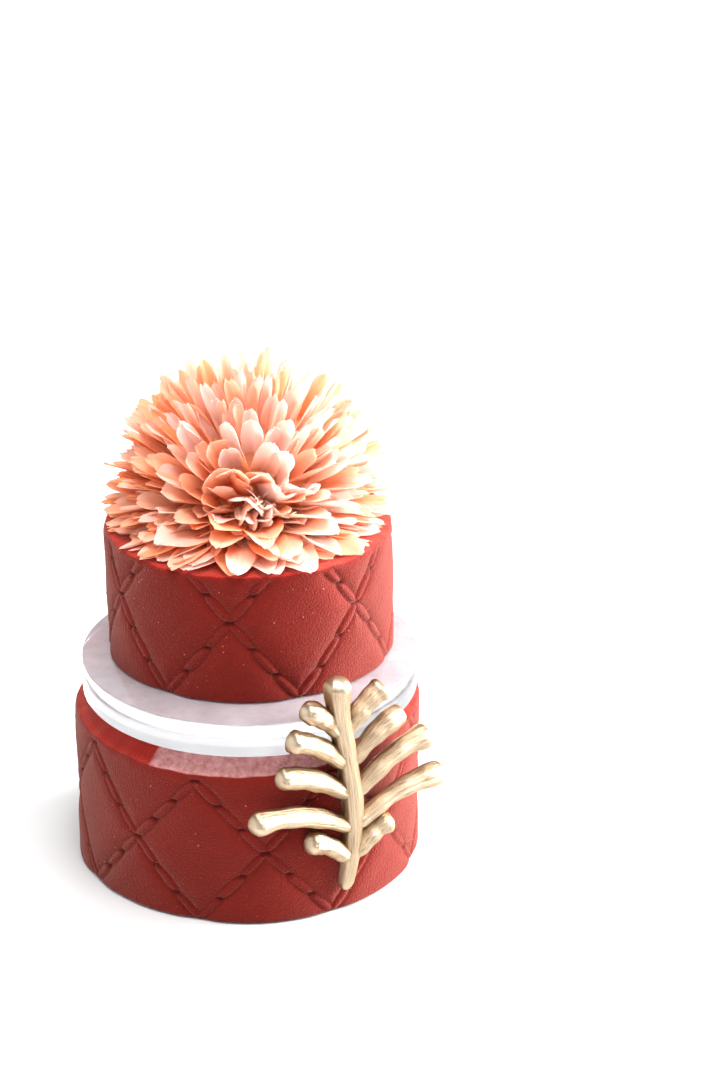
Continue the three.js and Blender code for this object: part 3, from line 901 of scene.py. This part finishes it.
def petal_mesh(shape):
    """Points of one petal's upper and lower face, and its colour attributes."""
    draws = rng.uniform(0, 1, 12)
    axes = petal_axes(shape)
    direction, inward, sideways = axes
    varied_length = PETAL_LENGTH["least"] + PETAL_LENGTH["more"] * draws[0]
    length = reach_along(shape["start"], direction) * shape["reach"] * varied_length
    width = shape["width"] * (PETAL_WIDTH["least"] + PETAL_WIDTH["more"] * draws[1])
    stations = 1 - (1 - np.linspace(0, 1, PETAL_STATIONS)) ** 1.4
    t = (PETAL_START + (1 - PETAL_START) * stations)[:, None]
    share = np.linspace(-1, 1, PETAL_ACROSS)[None]
    ragged = 1 + 0.05 * np.sin(17 * t + 9 * draws[4]) + 0.03 * np.sin(37 * t + 5 * draws[5])
    half = (width / 2) * np.maximum(PETAL_WIDTH["narrowest"], outline(shape, t) * ragged)
    middle = petal_middle(shape, draws, t, share, length, axes)
    twist = (shape["twist"] * (draws[5] - 0.5) * (t - 0.4) + 0 * share)[..., None]
    aside = sideways * np.cos(twist) + inward * np.sin(twist)
    upward = inward * np.cos(twist) - sideways * np.sin(twist)
    relief = petal_relief(shape, draws, t, share, half)
    face = middle + aside * (half * share)[..., None] + upward * relief[..., None]
    face[..., 2] = np.maximum(face[..., 2], LOWEST_TIP - 0.6 + 0.4 * draws[3])
    at_edge = PETAL_HALF_THICKNESS["middle"] - PETAL_HALF_THICKNESS["thinner_edge"] * share**2
    thick = (at_edge * (1 - PETAL_HALF_THICKNESS["thinner_tip"] * t**2))[..., None] * upward
    size = (PETAL_STATIONS, PETAL_ACROSS)
    along, across = np.broadcast_to(t, size), np.broadcast_to(share, size)
    return face + thick, face - thick, along, across, draws[11] + shape["tone"]


def petal_faces():
    """Faces of a thin solid whose upper points come first, both faces split alike."""
    rows, columns = PETAL_STATIONS, PETAL_ACROSS
    below = rows * columns
    faces = []
    for j in range(rows - 1):
        for i in range(columns - 1):
            a = j * columns + i
            b, c, d = a + 1, a + columns + 1, a + columns
            faces.append([a, b, c, d])
            faces.append([below + d, below + c, below + b, below + a])
    border = list(range(columns))
    border += [j * columns + columns - 1 for j in range(1, rows)]
    border += [(rows - 1) * columns + i for i in range(columns - 2, -1, -1)]
    border += [j * columns for j in range(rows - 2, 0, -1)]
    for a, b in zip(border, border[1:] + border[:1]):
        faces.append([b, a, below + a, below + b])
    return faces


def petals_piece(kind, petals, material):
    """All petals of one kind as one joined mesh."""
    one_petal = petal_faces()
    points, faces, along, across, tone = [], [], [], [], []
    for number, (upper, lower, t, share, draw) in enumerate(petals):
        offset = number * 2 * PETAL_STATIONS * PETAL_ACROSS
        points += [upper.reshape(-1, 3), lower.reshape(-1, 3)]
        faces += [[i + offset for i in face] for face in one_petal]
        along += [t.ravel(), t.ravel()]
        across += [share.ravel(), share.ravel()]
        tone.append(np.full(2 * t.size, draw))
    attributes = {
        "along": np.concatenate(along),
        "across": np.concatenate(across),
        "tone": np.concatenate(tone),
    }
    name = f"blossom_{kind}_petals"
    piece = mesh_piece(name, np.concatenate(points), faces, [material], "blossom", attributes)
    piece.data.set_sharp_from_angle(angle=PETAL_CREASE)


def blossom_pieces(material):
    """The petals, grouped by kind; every shape is drawn before the first petal is made."""
    groups = {}
    for shape in [*whorl_petals(), *layer_petals()]:
        groups.setdefault(shape["kind"], []).append(petal_mesh(shape))
    for kind, petals in groups.items():
        petals_piece(kind, petals, material)


def blossom_core(material):
    """The rounded middle that the petals are set in, seen only deep between them."""
    turn = TURN * np.arange(CORE["sides"]) / CORE["sides"]
    rings = []
    for rise in np.linspace(*CORE["rises"], CORE["rings"]):
        lump = 1 + CORE_LUMPS["size"] * np.sin(CORE_LUMPS["count"] * turn + CORE_LUMPS["twist"] * rise)
        x = CORE["centre"][0] + CORE["radii"][0] * math.cos(rise) * np.sin(turn) * lump
        y = CORE["centre"][1] - CORE["radii"][1] * math.cos(rise) * np.cos(turn) * lump
        z = CORE["centre"][2] + CORE["radii"][2] * math.sin(rise) * lump
        rings.append(np.stack([x, y, np.maximum(z, CORE["floor"])], axis=-1))
    points, faces = closed_loft(np.array(rings))
    attributes = {key: np.full(len(points), value) for key, value in CORE_COLOUR.items()}
    mesh_piece("blossom_core", points, faces, [material], "blossom", attributes)


def petal_material():
    """Thin waxy petals: warm at the root, paler and pinker towards the tip, with fine lengthwise veins; their
    tone also carries painted shade on the blossom's left and painted light on its right.
    """
    material, tree, shader = new_material("petals")
    along, across, tone = attribute(tree, "along"), attribute(tree, "across"), attribute(tree, "tone")
    x, y, z = times(tree, across, 7.0), times(tree, along, 1.6), times(tree, tone, 90.0)
    vein = noise(tree, node(tree, "CombineXYZ", X=x, Y=y, Z=z).outputs[0], 1.4, 4, 0.6)
    by_vein = times(tree, maths(tree, "SUBTRACT", vein, 0.5), 0.35)
    by_tone = times(tree, maths(tree, "SUBTRACT", tone, 0.5), 0.65)
    shifted = maths(tree, "ADD", maths(tree, "ADD", along, by_vein), by_tone)
    colour = ramp(tree, shifted, [
        (0.1, (0.98, 0.44, 0.17)),
        (0.4, (0.97, 0.54, 0.30)),
        (0.75, (0.96, 0.66, 0.50)),
        (1.0, (0.95, 0.79, 0.73)),
    ])
    edge = maths(tree, "POWER", maths(tree, "ABSOLUTE", across), 4.0)
    colour = mix(tree, times(tree, edge, 0.15), colour, (0.99, 0.86, 0.80))
    tree.links.new(colour, shader.inputs["Base Color"])
    shader.inputs["Roughness"].default_value = 0.5
    shader.inputs["Specular IOR Level"].default_value = 0.25
    tree.links.new(bump(tree, vein, 0.3, 0.0004), shader.inputs["Normal"])
    through = node(tree, "BsdfTranslucent", Color=colour)
    both = tree.nodes.new("ShaderNodeMixShader")
    both.inputs[0].default_value = 0.58
    tree.links.new(shader.outputs[0], both.inputs[1])
    tree.links.new(through.outputs[0], both.inputs[2])
    tree.links.new(both.outputs[0], tree.nodes["Material Output"].inputs["Surface"])
    return material


# ---- floor, light, camera ----

FLOOR_HALF = 6
FLOOR_DROP = 0.0005  # below the cake's foot, so that the two faces don't lie in one plane
LIGHTS = [
    ("window", (1.7, 0.35, 0.62), (0, 0, 0.1), (1.2, 0.9), 158, (1.0, 0.98, 0.96)),
    ("back", (-0.4, 2.0, 1.6), (0, 0, 0.1), (2.4, 1.2), 3, (0.97, 0.98, 1.0)),
    ("left", (-1.3, -0.2, 0.5), (0, 0, 0.1), (1.2, 0.9), 4.5, (1.0, 0.99, 0.98)),
    ("front", (-0.3, -1.3, 1.2), (0, 0, 0.15), (0.9, 0.7), 7, (1.0, 0.99, 0.98)),
    ("ceiling", (0.12, -0.3, 1.4), (0, -0.02, 0.15), (0.7, 0.7), 27, (1.0, 0.99, 0.98)),
]  # name, place, target, size, power, colour


def floor_material():
    """Plain pale floor with a very faint cloud in it."""
    material, tree, shader = new_material("floor")
    cloud = noise(tree, place(tree), 1.5, 3)
    tree.links.new(ramp(tree, cloud, [(0.3, grey(0.58)), (0.7, grey(0.61))]), shader.inputs["Base Color"])
    shader.inputs["Roughness"].default_value = 0.6
    return material


def build_stage():
    mesh = bpy.data.meshes.new("floor")
    corners = [(x * FLOOR_HALF, y * FLOOR_HALF, 0) for x, y in ((-1, -1), (1, -1), (1, 1), (-1, 1))]
    mesh.from_pydata(corners, [], [[0, 1, 2, 3]])
    mesh.materials.append(floor_material())
    floor = bpy.data.objects.new("floor", mesh)
    floor.location.z = -FLOOR_DROP
    bpy.context.scene.collection.objects.link(floor)


def area_light(name, location, target, size, power, colour):
    light = bpy.data.lights.new(name, "AREA")
    light.shape = "RECTANGLE"
    light.size, light.size_y = size
    light.energy = power
    light.color = colour
    lamp = bpy.data.objects.new(name, light)
    lamp.location = location
    lamp.rotation_mode = "QUATERNION"
    lamp.rotation_quaternion = (Vector(target) - Vector(location)).to_track_quat("-Z", "Y")
    bpy.context.scene.collection.objects.link(lamp)


def build_world():
    """Bright white surroundings behind and to the right, dimmer towards the viewer."""
    world = bpy.data.worlds.new("world")
    world.use_nodes = True
    tree = world.node_tree
    split = node(tree, "SeparateXYZ", Vector=node(tree, "TexCoord").outputs["Generated"])
    depth = maths(tree, "ADD", times(tree, split.outputs[1], 0.5), 0.5)
    side = times(tree, split.outputs[0], 0.45)
    colour = ramp(tree, maths(tree, "ADD", depth, side), [
        (0.1, (0.34, 0.35, 0.36)),
        (0.5, (0.60, 0.62, 0.64)),
        (0.85, (1.0, 1.0, 1.02)),
    ])
    background = tree.nodes["Background"]
    tree.links.new(colour, background.inputs["Color"])
    background.inputs["Strength"].default_value = 1.0
    bpy.context.scene.world = world


def build_light():
    """The surroundings, one strong soft window at the right and weak fill lights."""
    build_world()
    for light in LIGHTS:
        area_light(*light)
    bpy.context.scene.view_settings.view_transform = "Standard"
    bpy.context.scene.cycles.diffuse_bounces = 10


def build_camera():
    forward = np.array([
        math.sin(CAMERA_YAW) * math.cos(CAMERA_PITCH),
        math.cos(CAMERA_YAW) * math.cos(CAMERA_PITCH),
        -math.sin(CAMERA_PITCH),
    ])
    right = np.array([math.cos(CAMERA_YAW), -math.sin(CAMERA_YAW), 0])
    up = np.cross(right, forward)
    camera = bpy.data.objects.new("camera", bpy.data.cameras.new("camera"))
    camera.data.sensor_fit = "AUTO"
    camera.data.sensor_width = CAMERA_SENSOR
    camera.data.lens = CAMERA_LENS
    rows = [[right[i], up[i], -forward[i], CAMERA_PLACE[i]] for i in range(3)]
    camera.matrix_world = Matrix([*rows, [0, 0, 0, 1]])
    bpy.context.scene.collection.objects.link(camera)
    bpy.context.scene.camera = camera


def build_cake():
    icing = red_icing()
    tier_piece(LOWER, lower_rim, lower_top, icing, "lower_tier")
    tier_piece(UPPER, upper_rim, upper_top, icing, "upper_tier")
    paler = speck_material()
    speck_piece(LOWER, LOWER_SPECKS, paler, "lower_tier")
    speck_piece(UPPER, UPPER_SPECKS, paler, "upper_tier")
    disc_piece(clear_plastic(), painted_reflection_top())
    sprig_piece(gold())
    petals = petal_material()
    blossom_core(petals)
    blossom_pieces(petals)


build_cake()
build_stage()
build_light()
build_camera()
